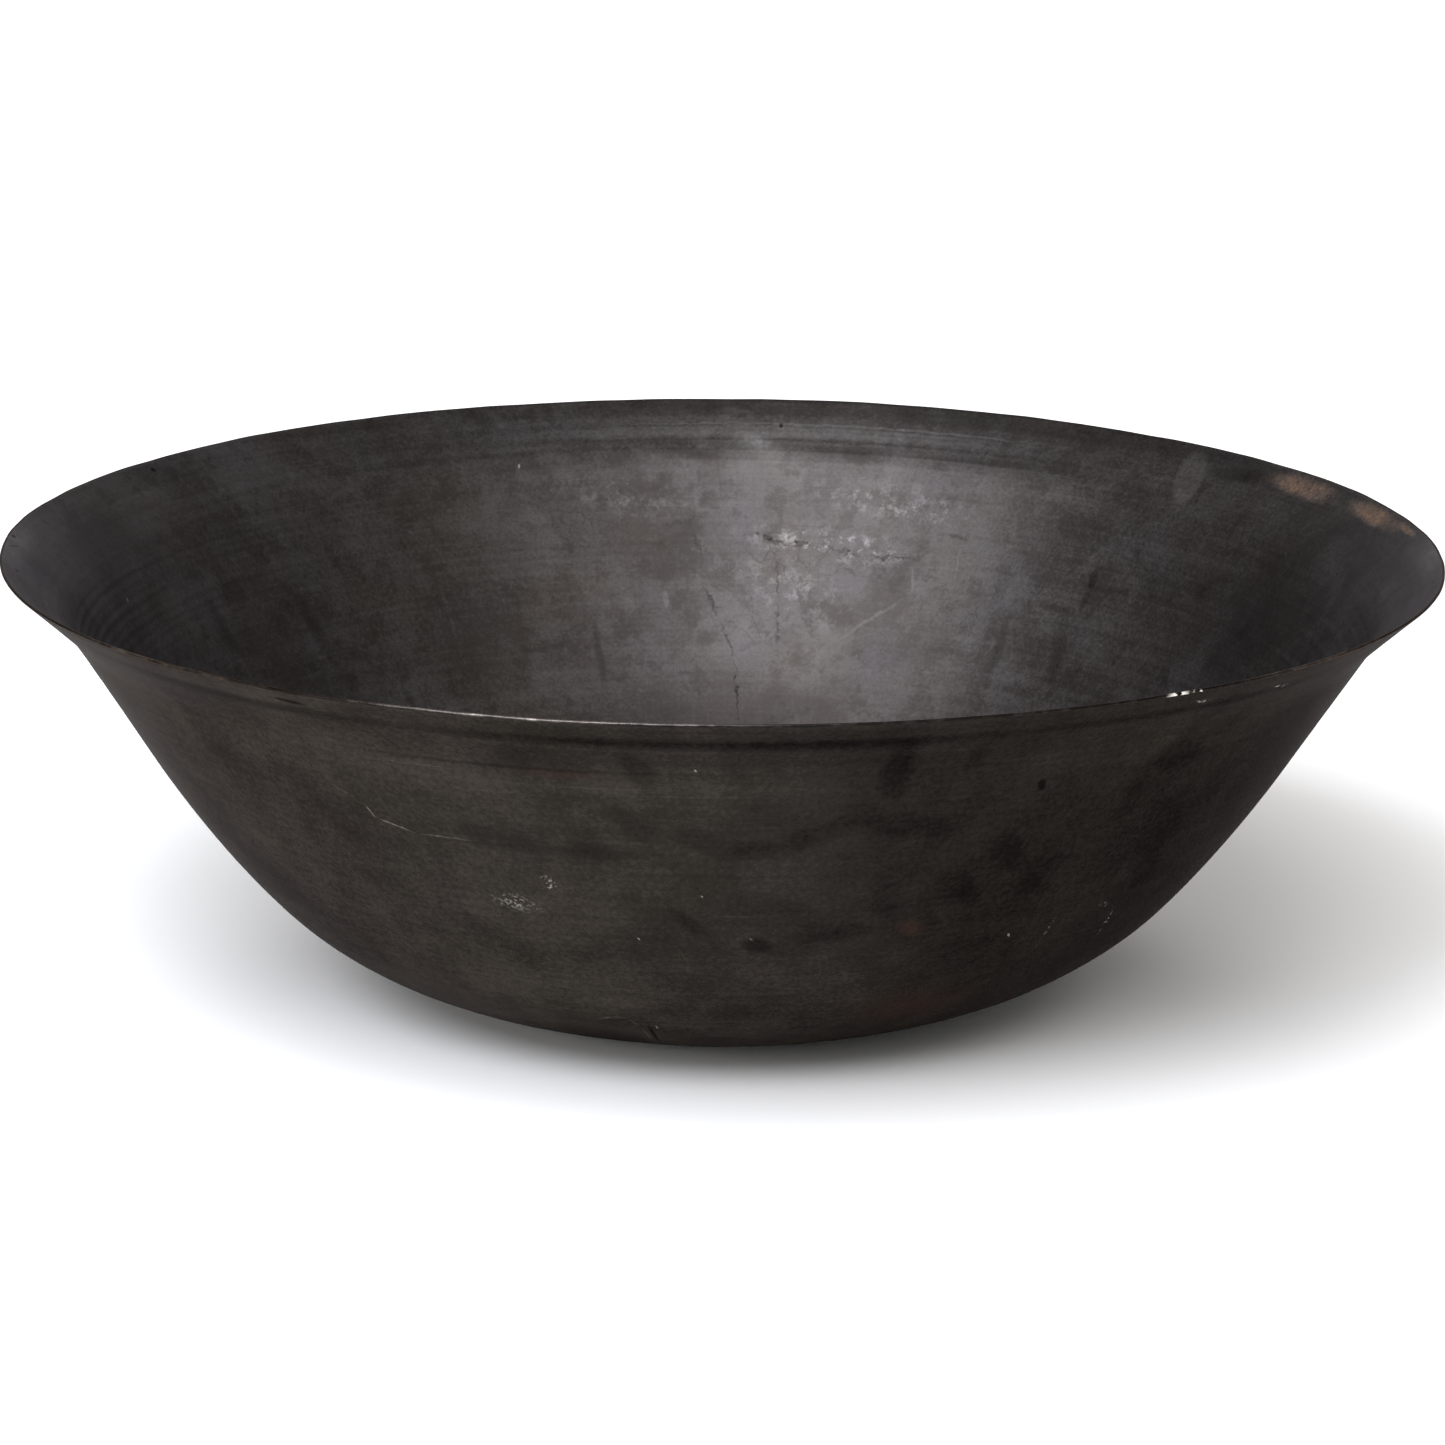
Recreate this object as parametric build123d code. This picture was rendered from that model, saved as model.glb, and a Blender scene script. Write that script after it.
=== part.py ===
from build123d import *
import os
from math import cos, sin, radians

# A gold pan: one disc of sheet steel, spun over a former into a deep round bowl with a turned-out rim.
# The origin is the middle of the flat bottom's underside, and +Z is the pan's own axis.

# Driving dimensions, in millimetres
RIM_DIAMETER = 457.0        # 18 inches across the outside of the cut edge
SHEET = 1.0                 # thickness of the steel
BASE_RADIUS = 66.5          # the flat that the pan stands on
KNUCKLE_RADIUS = 113.0      # the bowl's lower bend, measured on the underside
WALL_RADIUS = 294.0         # the long, slow curve above it
NECK_RADIUS = 37.5          # the reverse bend where the rim turns out
FLARE_LENGTH = 20.5         # the straight band from the neck to the edge

# Slopes of the wall above the horizontal, in degrees
KNUCKLE_SLOPE = 47.0        # where the knuckle meets the wall curve
WALL_SLOPE = 58.5           # the steepest part, straight up to the neck
FLARE_SLOPE = 43.3          # the rim band


def cosine(slope):
    return cos(radians(slope))


def sine(slope):
    return sin(radians(slope))


# The straight wall takes whatever run is left once the bends and the rim have theirs.
UNDERSIDE_REACH = RIM_DIAMETER / 2 - SHEET / 2 * (1 - sine(FLARE_SLOPE))
KNUCKLE_REACH = KNUCKLE_RADIUS * sine(KNUCKLE_SLOPE)
WALL_CURVE_REACH = WALL_RADIUS * (sine(WALL_SLOPE) - sine(KNUCKLE_SLOPE))
NECK_REACH = NECK_RADIUS * (sine(WALL_SLOPE) - sine(FLARE_SLOPE))
FLARE_REACH = FLARE_LENGTH * cosine(FLARE_SLOPE)
BENDS_REACH = BASE_RADIUS + KNUCKLE_REACH + WALL_CURVE_REACH + NECK_REACH + FLARE_REACH
WALL_LENGTH = (UNDERSIDE_REACH - BENDS_REACH) / cosine(WALL_SLOPE)


def sheet_face(inset):
    """One face of the sheet, from the axis to the rim, as runs and bends that meet in tangents.

    inset is how far the face lies inside the underside: 0 for the underside, SHEET for the inside.
    Bends that open upwards lose the inset from their radius, and the neck, which turns the other
    way, gains it, so the two faces stay exactly parallel.
    """
    base = Line((0, inset), (BASE_RADIUS, inset))
    knuckle = JernArc(base @ 1, base % 1, KNUCKLE_RADIUS - inset, KNUCKLE_SLOPE)
    wall_curve = JernArc(knuckle @ 1, knuckle % 1, WALL_RADIUS - inset, WALL_SLOPE - KNUCKLE_SLOPE)
    wall = PolarLine(wall_curve @ 1, WALL_LENGTH, direction=wall_curve % 1)
    neck = JernArc(wall @ 1, wall % 1, NECK_RADIUS + inset, FLARE_SLOPE - WALL_SLOPE)
    flare = PolarLine(neck @ 1, FLARE_LENGTH, direction=neck % 1)
    return [base, knuckle, wall_curve, wall, neck, flare]


def pan_section():
    """The sheet's cross-section on one side of the axis, with its cut edge worn round."""
    underside = sheet_face(0)
    inside = sheet_face(SHEET)
    flare = underside[-1]
    rim_edge = JernArc(flare @ 1, flare % 1, SHEET / 2, 180)
    axis_side = Line(inside[0] @ 0, underside[0] @ 0)
    return make_face(underside + [rim_edge] + inside + [axis_side])


pan_shell = revolve(Plane.XZ * pan_section(), Axis.Z, 360)
pan_shell.label = "pan_shell"

os.makedirs("parts", exist_ok=True)
export_step(pan_shell, "parts/pan_shell.step")

print("straight wall", round(WALL_LENGTH, 2), "mm")
print("height", round(pan_shell.bounding_box().max.Z, 2), "mm")
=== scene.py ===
# %% [markdown]
# # A gold pan in spun sheet steel
#
# The pan is one disc of mild steel. A spinner clamps the disc against a turning former and leans on it
# with a smooth tool, so the sheet flows into a bowl, and the tool leaves faint rings behind it. Heat, oil
# and years of wet gravel then turn the bright steel into a dark, blotchy, satin brown-grey.
#
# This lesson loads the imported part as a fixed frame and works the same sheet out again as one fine
# surface, with the rings, dents and uneven rim of a used pan. It then builds three finishes for it: the
# oiled inside, the fire-darkened outside and the worn cut edge.

import bpy
import numpy as np
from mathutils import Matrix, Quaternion, Vector


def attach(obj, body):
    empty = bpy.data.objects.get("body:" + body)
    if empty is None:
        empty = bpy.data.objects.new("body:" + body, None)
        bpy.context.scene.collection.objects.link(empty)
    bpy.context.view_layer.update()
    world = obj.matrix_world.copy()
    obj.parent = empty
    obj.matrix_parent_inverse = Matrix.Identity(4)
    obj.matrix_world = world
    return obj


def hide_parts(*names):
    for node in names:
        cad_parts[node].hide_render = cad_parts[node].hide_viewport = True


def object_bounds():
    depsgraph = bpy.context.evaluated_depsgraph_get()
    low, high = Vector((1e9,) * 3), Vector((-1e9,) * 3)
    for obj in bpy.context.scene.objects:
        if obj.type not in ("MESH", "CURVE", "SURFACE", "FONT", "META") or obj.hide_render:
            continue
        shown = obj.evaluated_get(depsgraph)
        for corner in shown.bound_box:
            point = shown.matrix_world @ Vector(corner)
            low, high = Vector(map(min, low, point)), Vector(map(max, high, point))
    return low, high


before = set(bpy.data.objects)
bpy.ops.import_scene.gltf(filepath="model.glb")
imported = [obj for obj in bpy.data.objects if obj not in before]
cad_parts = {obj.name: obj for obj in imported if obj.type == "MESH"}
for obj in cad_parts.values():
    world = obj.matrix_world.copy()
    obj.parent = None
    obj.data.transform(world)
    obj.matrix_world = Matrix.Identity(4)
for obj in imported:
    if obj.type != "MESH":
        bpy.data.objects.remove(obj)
cad_low, cad_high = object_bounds()
print("packed part:", sorted(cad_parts), "size", [round(x, 4) for x in cad_high - cad_low])

# %% [markdown]
# ## The sheet's profile
#
# Seen in section, the sheet is a chain of runs and bends: flat bottom, knuckle, slow wall curve, straight
# wall, a neck that bends the other way, and the flared rim band. It could be drawn as arcs joined end to
# end, with a case for each bend. But every one of them has a constant curvature, so the slope is a chain
# of straight lines when it is drawn against the length of the sheet. That makes the whole profile one
# interpolation and two running sums.

# %% The driving sizes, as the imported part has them
MM = 0.001
RIM_RADIUS = (cad_high.x - cad_low.x) / 2
SHEET = 1.0 * MM
BASE_RADIUS = 66.5 * MM
KNUCKLE_RADIUS = 113.0 * MM
WALL_RADIUS = 294.0 * MM
NECK_RADIUS = 37.5 * MM
FLARE_LENGTH = 20.5 * MM
KNUCKLE_SLOPE, WALL_SLOPE, FLARE_SLOPE = np.radians([47.0, 58.5, 43.3])


def straight_wall():
    """The wall's straight run: what is left of the rim's reach once every bend has had its share."""
    reach = RIM_RADIUS - SHEET / 2 * (1 - np.sin(FLARE_SLOPE))
    reach -= BASE_RADIUS + KNUCKLE_RADIUS * np.sin(KNUCKLE_SLOPE)
    reach -= WALL_RADIUS * (np.sin(WALL_SLOPE) - np.sin(KNUCKLE_SLOPE))
    reach -= NECK_RADIUS * (np.sin(WALL_SLOPE) - np.sin(FLARE_SLOPE))
    reach -= FLARE_LENGTH * np.cos(FLARE_SLOPE)
    return reach / np.cos(WALL_SLOPE)


RUNS = [
    BASE_RADIUS,
    KNUCKLE_RADIUS * KNUCKLE_SLOPE,
    WALL_RADIUS * (WALL_SLOPE - KNUCKLE_SLOPE),
    straight_wall(),
    NECK_RADIUS * (WALL_SLOPE - FLARE_SLOPE),
    FLARE_LENGTH,
]
STATIONS = np.concatenate([[0.0], np.cumsum(RUNS)])
SLOPES = np.array([0, 0, KNUCKLE_SLOPE, WALL_SLOPE, WALL_SLOPE, FLARE_SLOPE, FLARE_SLOPE])
RIM_END = STATIONS[-1]
print("length of the sheet from the middle to the edge:", round(RIM_END / MM, 1), "mm")

# %% Radius, height and slope at any length along the sheet
PROFILE_STEPS = 20000
FINE = np.linspace(0, RIM_END, PROFILE_STEPS + 1)
FINE_SLOPE = np.interp(FINE, STATIONS, SLOPES)


def running_sum(rate):
    """Trapezoid sum of a rate along FINE, starting from zero."""
    steps = (rate[1:] + rate[:-1]) / 2 * np.diff(FINE)
    return np.concatenate([[0.0], np.cumsum(steps)])


FINE_RADIUS = running_sum(np.cos(FINE_SLOPE))
FINE_HEIGHT = running_sum(np.sin(FINE_SLOPE))


def sheet_line(along):
    """Radius, height and slope of the underside at these lengths from the middle of the sheet.

    Slope is linear between STATIONS, radius is the sum of its cosine and height the sum of its sine.
    """
    return (np.interp(along, FINE, FINE_RADIUS), np.interp(along, FINE, FINE_HEIGHT),
            np.interp(along, FINE, FINE_SLOPE))


top_of_edge = FINE_HEIGHT[-1] + SHEET / 2 * (1 + np.cos(FLARE_SLOPE))
print("profile height", round(top_of_edge / MM, 2), "mm, packed part", round(cad_high.z / MM, 2), "mm")

# %% [markdown]
# ## What use did to the shape
#
# A spun pan is never quite round or smooth. The tool left rings, close together at the neck and wider
# down the wall. The rim is a little oval and waves up and down, the sheet is faintly lumpy, the bottom
# was knocked in at the front left, and the edge was cut by hand. These could be bump in the finish, but
# then the outline and the mesh would stay perfect. Each is a small height field over bearing and length
# instead, so they can be written as formulas and added together.

# %% Soft steps, hills and bands
def smooth_step(low, high, value):
    """0 below low, 1 above high, and 3t^2 - 2t^3 in between."""
    t = np.clip((value - low) / (high - low), 0, 1)
    return t * t * (3 - 2 * t)


def bump(value, centre, half_width):
    """A round hill: (1 + cos) / 2 across the half width on either side of the centre, and 0 outside."""
    t = np.clip(np.abs(value - centre) / half_width, 0, 1)
    return (1 + np.cos(np.pi * t)) / 2


def band(value, start, full, fading, gone):
    """A flat stretch with soft ends: a smooth step up from start to full, and one down to gone."""
    return smooth_step(start, full, value) * (1 - smooth_step(fading, gone, value))


def bearing_gap(bearing, centre_deg):
    """Degrees from a bearing to the centre, the short way round."""
    return (np.degrees(bearing) - centre_deg + 180) % 360 - 180


print("a band halfway up its start is", band(0.5, 0, 1, 2, 3), "and in its middle", band(1.5, 0, 1, 2, 3))


# %% Height fields over the sheet, with lengths and depths in millimetres
def tool_rings(bearing, along):
    """Rings that the spinning tool left: cosine ridges, strongest where the sheet was worked hardest.

    Near the neck the tool moved on 2.1 mm a turn, with every second ring deeper, and 3.3 mm down the
    wall. The neck's rings are deepest at the back, and the wall's at the sides, most of all the left.
    """
    mm = along / MM
    drift = 0.25 * np.cos(3 * bearing + 0.09 * mm)
    at_back = 0.45 + 0.55 * bump(bearing_gap(bearing, 166), 0, 60)
    at_sides = 0.30 + 0.45 * np.sin(bearing) ** 2 - 0.25 * np.sin(bearing)
    neck = 0.017 * band(mm, 259, 266, 277, 280) * (at_back + drift)
    wall = 0.046 * band(mm, 226, 238, 257, 264) * (at_sides + drift)
    low = 0.004 * band(mm, 90, 120, 215, 232)
    fine = 0.6 * np.cos(2 * np.pi * mm / 2.1) + 1.1 * np.cos(2 * np.pi * mm / 3.9 + 0.7)
    coarse = np.cos(2 * np.pi * mm / 3.3) + 0.6 * np.cos(2 * np.pi * mm / 5.3 + 2.0)
    return (neck * fine + wall * coarse + low * np.cos(2 * np.pi * mm / 4.7)) * MM


def lumps(bearing, along):
    """Faint unevenness of the wall: a few crossed sine waves, each up to 0.1 mm high.

    Each wave is how many fit round the pan, radians a millimetre up the wall, its start and its height.
    """
    mm = along / MM
    waves = [(3, 0.045, 0.3, 0.10), (5, -0.031, 1.7, 0.08), (8, 0.062, 4.1, 0.06),
             (13, 0.083, 2.2, 0.035), (21, -0.11, 5.0, 0.02)]
    height = sum(high * np.sin(count * bearing + rate * mm + start) for count, rate, start, high in waves)
    return height * smooth_step(70, 120, mm) * (1 - 0.5 * smooth_step(250, 290, mm)) * MM


def rim_crease(along):
    """The spinner's last pass: a shallow groove 10 mm in from the edge, and a lip that turns down past it.

    The groove is one bump, and the lip falls 0.028 mm for each millimetre beyond it.
    """
    mm = along / MM
    groove = -0.07 * bump(mm, 281.4, 2.8)
    lip = -0.028 * np.clip(mm - 281.5, 0, None)
    return (groove + lip) * MM


def bottom_dent(bearing, along):
    """The knock low on the front left: 1.2 mm deep, fading to the left, with a crease on its right.

    It is a band of bearings times a round hill 48 mm tall.
    """
    across = band(bearing_gap(bearing, -17.0), -16, 0, 5.5, 8.5)
    return 1.2 * across * bump(along / MM, 124, 24) * MM


def sheet_relief(bearing, along):
    """All the height fields together, measured inwards from the true sheet."""
    spun = tool_rings(bearing, along) + rim_crease(along)
    used = lumps(bearing, along) + bottom_dent(bearing, along)
    return spun + used


all_round = np.linspace(-np.pi, np.pi, 721)
relief = sheet_relief(all_round[:, None], FINE[None, ::40]) / MM
print("relief runs from", round(relief.min(), 2), "to", round(relief.max(), 2), "mm")


# %% Waves and ovalness of the rim
def rim_warp(bearing, along):
    """How far the upper wall has moved outwards and upwards: waves round the pan, two or three to a turn.

    They grow from the mid wall to the rim with a smooth step.
    """
    grow = smooth_step(180, 290, along / MM)
    outwards = (-0.9 * np.cos(2 * bearing) + 0.8 * np.sin(2 * bearing)) * MM
    upwards = (0.57 * np.cos(2 * bearing) + 0.1 * np.sin(3 * bearing)) * MM
    return outwards * grow, upwards * grow


def hand_cut(bearing):
    """How far the cut edge strays from its circle: sine waves from the shears, two bumps for a nick."""
    waves = 0.12 * np.sin(7 * bearing + 0.4) + 0.08 * np.sin(19 * bearing + 2.0)
    waves += 0.05 * np.sin(43 * bearing + 1.1) + 0.03 * np.sin(71 * bearing + 3.0)
    nick = -0.55 * bump(bearing_gap(bearing, -32.2), 0, 1.3)
    nick += -0.3 * bump(bearing_gap(bearing, -34.4), 0, 0.9)
    return (waves + nick) * MM


strays = [round(float(np.abs(way).max() / MM), 2) for way in rim_warp(all_round, RIM_END)]
print("the rim strays", strays[0], "mm outwards and", strays[1], "mm up and down")

# %% [markdown]
# ## The sheet as one closed surface
#
# The mesh is a grid: one way runs round the pan, the other follows the section from the middle of the
# underside, out to the rim, round the cut edge and back along the inside. A turned profile with its
# thickness added afterwards would do for a smooth pan. This grid can have its rows close together where
# the tool rings show and wide apart on the flat bottom, and both sides follow the same relief, so the
# sheet keeps its thickness. The two ends of the section meet the axis in one point each, so the surface
# is closed and has no seam.

# %% Rows of the section
COLUMNS = 400
EDGE_ROWS = 8


def spaced(*stretches):
    """Lengths along the sheet: each stretch is (start, end, step) in millimetres, without its end."""
    return np.concatenate([np.arange(start, end, step) for start, end, step in stretches]) * MM


def section_rows():
    """Length, lift above the underside and reach past the flare for every row, middle to middle.

    The cut edge is half a circle: its lift goes with the sine and its reach with the cosine.
    """
    under = spaced((6, 66, 10), (66, 210, 3.6), (210, 262, 3.4), (262, 290, 2.0))
    inside = spaced((6, 66, 10), (66, 216, 4.0), (216, 258, 0.78), (258, 284, 0.56), (284, 290.4, 1.2))
    turn = np.linspace(-np.pi / 2, np.pi / 2, EDGE_ROWS)
    edge_lift = SHEET / 2 * (1 + np.sin(turn))
    edge_reach = SHEET / 2 * np.cos(turn)
    along = np.concatenate([under, np.full(EDGE_ROWS, RIM_END), inside[::-1]])
    lift = np.concatenate([np.zeros(len(under)), edge_lift, np.full(len(inside), SHEET)])
    reach = np.concatenate([np.zeros(len(under)), edge_reach, np.zeros(len(inside))])
    return along, lift, reach, len(under), len(inside)


ALONG, LIFT, REACH, UNDER_ROWS, INSIDE_ROWS = section_rows()
print("rows:", UNDER_ROWS, "on the underside,", EDGE_ROWS, "round the edge,", INSIDE_ROWS, "inside")


# %% Every point of the grid at once
def sheet_points(bearing, along, lift, reach):
    """Points of the sheet: bearing 0 is the front (-Y) and +90 degrees is the right (+X).

    A point starts on the underside's line, moves lift + relief along the sheet's normal and reach
    along its slope, takes the rim's warp, and is then swung round the axis to its bearing. The hand
    cut pulls only the last few millimetres of the sheet with it.
    """
    radius, height, slope = sheet_line(along)
    up = lift + sheet_relief(bearing, along)
    out = reach + hand_cut(bearing) * smooth_step(286, 291, along / MM)
    widen, raise_by = rim_warp(bearing, along)
    radius = radius - up * np.sin(slope) + out * np.cos(slope) + widen
    height = height + up * np.cos(slope) + out * np.sin(slope) + raise_by
    return np.stack([radius * np.sin(bearing), -radius * np.cos(bearing), height], axis=-1)


def sheet_mesh(name):
    """The closed grid as a mesh: rows by columns of points, a point at each pole, quads and two fans."""
    bearing = np.arange(COLUMNS) * 2 * np.pi / COLUMNS
    grid = sheet_points(bearing[None, :], ALONG[:, None], LIFT[:, None], REACH[:, None])
    rows = len(ALONG)
    poles = np.array([[0, 0, 0], [0, 0, SHEET]])
    points = np.concatenate([grid.reshape(-1, 3), poles])
    row, column = np.meshgrid(np.arange(rows - 1), np.arange(COLUMNS), indexing="ij")
    after = (column + 1) % COLUMNS
    quads = np.stack([row * COLUMNS + column, row * COLUMNS + after,
                      (row + 1) * COLUMNS + after, (row + 1) * COLUMNS + column], axis=-1).reshape(-1, 4)
    ring = np.arange(COLUMNS)
    ring_after = (ring + 1) % COLUMNS
    low_pole, high_pole, last = rows * COLUMNS, rows * COLUMNS + 1, (rows - 1) * COLUMNS
    low_fan = np.stack([np.full(COLUMNS, low_pole), ring_after, ring], axis=-1)
    high_fan = np.stack([np.full(COLUMNS, high_pole), last + ring, last + ring_after], axis=-1)
    mesh = bpy.data.meshes.new(name)
    mesh.from_pydata(points, [], quads.tolist() + low_fan.tolist() + high_fan.tolist())
    mesh.shade_smooth()
    return mesh, 2 * len(quads) + 2 * COLUMNS


pan_mesh, pan_triangles = sheet_mesh("gold_pan")
print("mesh:", len(pan_mesh.vertices), "points,", pan_triangles, "triangles")

# %% [markdown]
# ## A map of the sheet
#
# Stains and scratches are easiest to place on the sheet laid out flat, by bearing and by length from the
# middle. An unwrapping tool would choose its own cuts, but this map can be written down: U is turns round
# the pan and V is the share of the way from the middle to the rim. The inside's map is cut at the front
# and the outside's at the back, so that neither cut crosses a side that is full of marks.

# %% Lay the map out
EDGE_MAP_STEP = 0.2 * MM  # how far the map moves on with each row round the cut edge


def sheet_map(mesh):
    """U is the bearing in turns, cut at the front inside and at the back outside; V is length / RIM_END."""
    rows = len(ALONG)
    on_edge = (LIFT > 0) & (LIFT < SHEET)
    past_edge = (np.arange(rows) - UNDER_ROWS) * EDGE_MAP_STEP
    share = (ALONG + np.where(on_edge, past_edge, 0)) / RIM_END
    turns = np.arange(COLUMNS) / COLUMNS
    step = 1 / COLUMNS
    row, column = np.meshgrid(np.arange(rows - 1), np.arange(COLUMNS), indexing="ij")
    outside = row < rows - INSIDE_ROWS - 1
    start = turns[column] - np.where(outside & (turns[column] >= 0.5), 1.0, 0.0)
    u = np.stack([start, start + step, start + step, start], axis=-1)
    v = np.stack([share[row], share[row], share[row + 1], share[row + 1]], axis=-1)
    quad_uv = np.stack([u, v], axis=-1).reshape(-1, 2)
    low_start = turns - np.where(turns >= 0.5, 1.0, 0.0)
    middle, first, last = np.zeros(COLUMNS), np.full(COLUMNS, share[0]), np.full(COLUMNS, share[-1])
    low_u = np.stack([low_start + step / 2, low_start + step, low_start], axis=-1)
    low_v = np.stack([middle, first, first], axis=-1)
    high_u = np.stack([turns + step / 2, turns, turns + step], axis=-1)
    high_v = np.stack([middle, last, last], axis=-1)
    fan_uv = np.concatenate([np.stack([low_u, low_v], axis=-1), np.stack([high_u, high_v], axis=-1)])
    corners = np.concatenate([quad_uv, fan_uv.reshape(-1, 2)]).astype(np.float32)
    mesh.uv_layers.new(name="sheet").uv.foreach_set("vector", corners.ravel())
    return corners


map_corners = sheet_map(pan_mesh)
print("map: U and V from", map_corners.min(axis=0).round(3), "to", map_corners.max(axis=0).round(3))


# %% Give each side its finish and stand the pan in the frame
def side_of_faces():
    """0 inside, 1 outside and 2 on the cut edge, for every face in the mesh's order."""
    row = np.repeat(np.arange(len(ALONG) - 1), COLUMNS)
    side = np.where(row < UNDER_ROWS, 1, np.where(row >= len(ALONG) - INSIDE_ROWS - 1, 0, 2))
    return np.concatenate([side, np.full(COLUMNS, 1), np.full(COLUMNS, 0)]).astype(np.int32)


pan_mesh.polygons.foreach_set("material_index", side_of_faces())
pan = bpy.data.objects.new("gold_pan", pan_mesh)
bpy.context.scene.collection.objects.link(pan)
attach(pan, "root")
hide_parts("pan_shell")
print("faces inside, outside and on the edge:", np.bincount(side_of_faces()).tolist())

# %% [markdown]
# ## Tools for the finishes
#
# Colours are easiest to judge as the hex values a paint chip would have, so one function turns those
# into the linear light that shaders work in. Another adds any node with its settings and inputs, where an
# input is either a number or another node's output. The rest of the finish is then a list of parts.

# %% Colour and node helpers
def linear(hex_colour):
    """Linear RGBA of an sRGB hex colour: c / 12.92 below 0.04045, ((c + 0.055) / 1.055)^2.4 above."""
    srgb = np.array([int(hex_colour[i:i + 2], 16) / 255 for i in (1, 3, 5)])
    light = np.where(srgb <= 0.04045, srgb / 12.92, ((srgb + 0.055) / 1.055) ** 2.4)
    return (*light.tolist(), 1.0)


def add(tree, kind, inputs=None, **settings):
    """Adds a node of this kind, sets its settings, and sets or links its inputs by name or number.

    Where names repeat, sockets go by number: a Mix node blends the colours on 6 and 7 by the share on
    0, and gives the result on 2.
    """
    node = tree.nodes.new("ShaderNode" + kind)
    for name, value in settings.items():
        setattr(node, name, value)
    for name, value in (inputs or {}).items():
        if isinstance(value, bpy.types.NodeSocket):
            tree.links.new(value, node.inputs[name])
        else:
            node.inputs[name].default_value = value
    return node


def start_finish(name):
    """A new material and its empty tree."""
    material = bpy.data.materials.new(name)
    material.use_nodes = True
    material.node_tree.nodes.clear()
    return material, material.node_tree


def close_finish(tree, inputs):
    """The shader with these inputs, joined to the material's output."""
    shader = add(tree, "BsdfPrincipled", inputs)
    add(tree, "OutputMaterial", {"Surface": shader.outputs["BSDF"]})


print("a mid grey chip, #808080, is", round(linear("#808080")[0], 3), "in linear light")

# %% [markdown]
# ## Patterns by the millimetre
#
# What dirt, oil and wear have in common is a size: a rag wipes patches as wide as a hand, drops dry into
# spots, grit leaves a peppering. So each pattern is soft noise with its real size in millimetres. Brush
# lines and runs are the same noise, stretched round the pan or down its wall. One number, the tone, adds
# the patterns up, and a row of paint chips turns it into colour.

# %% Noise, sums and rows of paint chips
def mottle(tree, patterns):
    """Named noises about 0.5, each given as (place, millimetres, detail, roughness).

    The largest features are that many millimetres across, each step of detail is half the size of the
    last, and roughness is how much of each step is kept. With two more numbers, low and high, a
    pattern is 0 below low and 1 above high, which gives it a crisp outline.
    """
    made = {}
    for name, (place, millimetres, detail, rough, *crisp) in patterns.items():
        settings = {"Vector": place, "Scale": 1 / (millimetres * MM), "Detail": detail, "Roughness": rough}
        made[name] = add(tree, "TexNoise", settings).outputs[0]
        if crisp:
            limits = {"Value": made[name], "From Min": crisp[0], "From Max": crisp[1]}
            made[name] = add(tree, "MapRange", limits).outputs[0]
    return made


def marked(tree, tone, *marks):
    """tone + the sum of share * mark over the (mark, share) pairs, as a chain of nodes."""
    for mark, share in marks:
        tone = add(tree, "Math", {0: mark, 1: share, 2: tone}, operation="MULTIPLY_ADD").outputs[0]
    return tone


def total(tree, start, *parts):
    """start + the sum of gain * (value - 0.5) over the (value, gain) pairs."""
    return marked(tree, start - sum(gain for _, gain in parts) / 2, *parts)


def within(tree, value, other):
    """Two patterns multiplied and kept between 0 and 1, so that one shows only within the other."""
    return add(tree, "Math", {0: value, 1: other}, operation="MULTIPLY", use_clamp=True).outputs[0]


def shades(tree, amount, *hexes):
    """A row of paint chips spread evenly over 0 to 1, blended into each other."""
    node = add(tree, "ValToRGB", {"Fac": amount})
    chips = node.color_ramp.elements
    chips[1].position = 1.0
    for number in range(1, len(hexes) - 1):
        chips.new(number / (len(hexes) - 1))
    for chip, hex_colour in zip(chips, hexes):
        chip.color = linear(hex_colour)
    return node.outputs["Color"]


# %% Stretched and shared patterns
GRAIN_DEPTH = 0.03 * MM  # pits and rust bloom in the sheet, from the highest point to the lowest


def round_the_pan(tree, place, shrink):
    """Object coordinates with height left alone and x and y shrunk, so noise is drawn out into rings."""
    return add(tree, "Mapping", {"Vector": place, "Scale": (shrink, shrink, 1.0)}).outputs[0]


def down_the_wall(tree, place, shrink):
    """The bearing as a point on a circle, and the height shrunk, so noise is drawn out downwards.

    The circle is 0.8 of the rim's, which is about the middle of the wall, so sizes hold there.
    """
    level = add(tree, "VectorMath", {0: place, 1: (1, 1, 0)}, operation="MULTIPLY").outputs[0]
    bearing = add(tree, "VectorMath", {0: level}, operation="NORMALIZE").outputs[0]
    height = add(tree, "VectorMath", {0: place, 1: (0, 0, shrink)}, operation="MULTIPLY").outputs[0]
    ring = {0: bearing, 1: (RIM_RADIUS * 0.8,) * 3, 2: height}
    return add(tree, "VectorMath", ring, operation="MULTIPLY_ADD").outputs[0]


def tinted(tree, colour, amount, *hexes):
    """The colour multiplied by a row of pale paint chips, as a slow drift of hue."""
    drift = {0: 1.0, 6: colour, 7: shades(tree, amount, *hexes)}
    return add(tree, "Mix", drift, data_type="RGBA", blend_type="MULTIPLY").outputs[2]


def grain(tree, *parts):
    """A bump as deep as GRAIN_DEPTH from the sum of several patterns."""
    height = {"Height": total(tree, 0.0, *parts), "Distance": GRAIN_DEPTH, "Strength": 1.0}
    return add(tree, "Bump", height).outputs[0]


print("grain depth:", GRAIN_DEPTH / MM, "mm")

# %% [markdown]
# ## Marks in their places
#
# Some marks belong to this pan alone: a scratch with a hook, two dabs of rust, a knock. The usual way is to
# paint them on by hand. Here each one is a stroke between two places on the map of the sheet, soft at its
# edge, and the map itself is pushed about by noise so that no stroke has a clean outline. A stroke can be
# read, moved or taken out by changing one line.

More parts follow.
